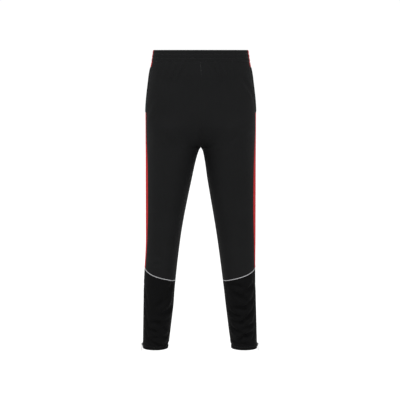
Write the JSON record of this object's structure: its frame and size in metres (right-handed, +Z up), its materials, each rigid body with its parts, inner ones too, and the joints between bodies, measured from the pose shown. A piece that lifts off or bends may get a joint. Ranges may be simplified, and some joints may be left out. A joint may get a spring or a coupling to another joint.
{
  "type": "training trousers",
  "caption": "Slim tapered training trousers in black knit with red side panels, piped shin inserts, elastic waist, side pockets and ankle zips.",
  "frame": {"origin": "centre of the waist opening, at the waistband's top edge", "axes": "+Z up out of the waist, front towards -Y, wearer's right at -X"},
  "size_m": [0.4049, 0.2457, 1.0387],
  "materials": {
    "black_knit": "smooth double-knit, faint sheen",
    "dark_knit": "smooth double-knit, darker and a little glossier",
    "red_knit": "smooth double-knit, bright red",
    "piping": "light grey reflective piping, satin",
    "pocket_mesh": "fine warp-knit mesh",
    "elastic": "ribbed woven elastic",
    "zip_tape": "herringbone tape",
    "zip_coil": "nylon coil",
    "dark_metal": "black lacquered zinc",
    "label": "white satin ribbon, blank"
  },
  "bodies": {
    "trousers": {"front_panel_left": "black_knit", "back_panel_left": "black_knit", "pocket_welt_left": "black_knit", "shin_panel_left": "dark_knit", "side_panel_left": "red_knit", "waistband_side_left": "red_knit", "shin_piping_left": "piping", "pocket_bag_left": "pocket_mesh", "drawcord_eyelet_left": "dark_metal", "zip_tape_front_left": "zip_tape", "zip_tape_back_left": "zip_tape", "zip_coil_front_left": "zip_coil", "zip_coil_back_left": "zip_coil", "zip_top_stop_front_left": "dark_metal", "zip_top_stop_back_left": "dark_metal", "zip_bottom_stop_left": "dark_metal", "front_panel_right": "black_knit", "back_panel_right": "black_knit", "pocket_welt_right": "black_knit", "shin_panel_right": "dark_knit", "side_panel_right": "red_knit", "waistband_side_right": "red_knit", "shin_piping_right": "piping", "pocket_bag_right": "pocket_mesh", "drawcord_eyelet_right": "dark_metal", "zip_tape_front_right": "zip_tape", "zip_tape_back_right": "zip_tape", "zip_coil_front_right": "zip_coil", "zip_coil_back_right": "zip_coil", "zip_top_stop_front_right": "dark_metal", "zip_top_stop_back_right": "dark_metal", "zip_bottom_stop_right": "dark_metal", "waistband_front": "black_knit", "waistband_back": "black_knit", "waist_elastic": "elastic", "care_label": "label"},
    "slider_left": {"zip_slider_left": "dark_metal"},
    "pull_left": {"zip_pull_left": "dark_metal"},
    "slider_right": {"zip_slider_right": "dark_metal"},
    "pull_right": {"zip_pull_right": "dark_metal"}
  },
  "joints": [
    {"name": "ankle_zip_left", "type": "slide", "parent": "trousers", "child": "slider_left", "axis": [-0.0288, 0, 0.9996], "range_m": [0, 0.1768]},
    {"name": "zip_pull_swing_left", "type": "hinge", "parent": "slider_left", "child": "pull_left", "pos_m": [0.19759, 0.005, -1.00739], "axis": [0, -1, 0], "range_deg": [0, 175]},
    {"name": "ankle_zip_right", "type": "slide", "parent": "trousers", "child": "slider_right", "axis": [0.018, 0, 0.9998], "range_m": [0, 0.1768]},
    {"name": "zip_pull_swing_right", "type": "hinge", "parent": "slider_right", "child": "pull_right", "pos_m": [-0.20292, 0.005, -1.00742], "axis": [0, 1, 0], "range_deg": [0, 175]}
  ]
}
